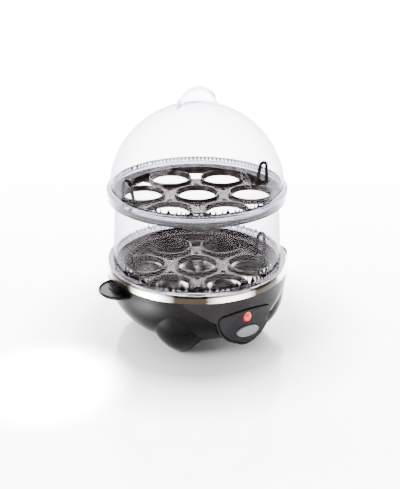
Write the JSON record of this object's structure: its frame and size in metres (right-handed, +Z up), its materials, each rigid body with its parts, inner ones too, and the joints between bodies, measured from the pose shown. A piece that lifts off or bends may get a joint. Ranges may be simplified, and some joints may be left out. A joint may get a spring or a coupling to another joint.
{
  "type": "egg boiler",
  "caption": "Two-tier electric egg boiler: black footed base, steel dish, two lift-out trays, clear ring and clear dome lid.",
  "frame": {"origin": "on the table under the middle of the round base", "axes": "+Z up, -Y towards the control panel, +X to the right seen from the front"},
  "size_m": [0.1974, 0.172, 0.2275],
  "materials": {
    "gloss_black": "moulded gloss black plastic",
    "matte_black": "fine matt black plastic",
    "panel_grey": "satin dark grey plastic",
    "tray_black": "satin brown-black plastic",
    "switch_black": "matt black plastic",
    "brushed_steel": "circular brushed steel",
    "steel_screw": "zinc plated",
    "cast_aluminium": "as cast",
    "fuse_metal": "plain",
    "rubber": "soft black rubber",
    "silicone": "grey silicone",
    "red_lens": "lit translucent red",
    "lamp_glass": "clear neon glass",
    "button_silver": "satin silver paint",
    "block_white": "plain white plastic",
    "lead_red": "silicone insulation",
    "clear_plastic": "clear moulded plastic",
    "clear_lilac": "clear plastic with a faint lilac tint"
  },
  "bodies": {
    "base": {"base_housing": "gloss_black", "front_console": "gloss_black", "inlet_boss": "gloss_black", "foot_lobes": "gloss_black", "inner_posts": "matte_black", "bottom_cover": "matte_black", "bottom_screws": "steel_screw", "rubber_feet": "rubber", "left_handle": "gloss_black", "right_handle": "gloss_black", "heating_plate": "brushed_steel", "plate_gasket": "silicone", "plate_nuts": "steel_screw", "heating_element": "cast_aluminium", "thermostat": "steel_screw", "thermostat_clip": "steel_screw", "thermal_fuse": "fuse_metal", "control_panel": "panel_grey", "indicator_lens": "red_lens", "indicator_lamp": "lamp_glass", "button_spring": "steel_screw", "power_switch": "switch_black", "switch_bracket": "steel_screw", "cord_inlet": "rubber", "terminal_block": "block_white", "internal_leads": "lead_red"},
    "button": {"power_button": "button_silver"},
    "lower_tray": {"lower_egg_tray": "tray_black", "lower_tray_loops": "tray_black"},
    "ring": {"tier_ring": "clear_plastic"},
    "upper_tray": {"upper_egg_tray": "tray_black", "upper_tray_loops": "tray_black"},
    "lid": {"dome_lid": "clear_plastic", "lid_handle": "clear_lilac"}
  },
  "joints": [
    {"name": "button_press", "type": "slide", "parent": "base", "child": "button", "axis": [0, 1, 0], "range_m": [0, 0.002], "stiffness_N_per_m": 600, "springref_m": -0.001, "deforming": ["button_spring"]},
    {"name": "lower_tray_lift", "type": "slide", "parent": "base", "child": "lower_tray", "axis": [0, 0, 1], "range_m": [0, 0.06]},
    {"name": "ring_lift", "type": "slide", "parent": "lower_tray", "child": "ring", "axis": [0, 0, 1], "range_m": [0, 0.09]},
    {"name": "upper_tray_lift", "type": "slide", "parent": "ring", "child": "upper_tray", "axis": [0, 0, 1], "range_m": [0, 0.06]},
    {"name": "lid_lift", "type": "slide", "parent": "upper_tray", "child": "lid", "axis": [0, 0, 1], "range_m": [0, 0.12]}
  ]
}
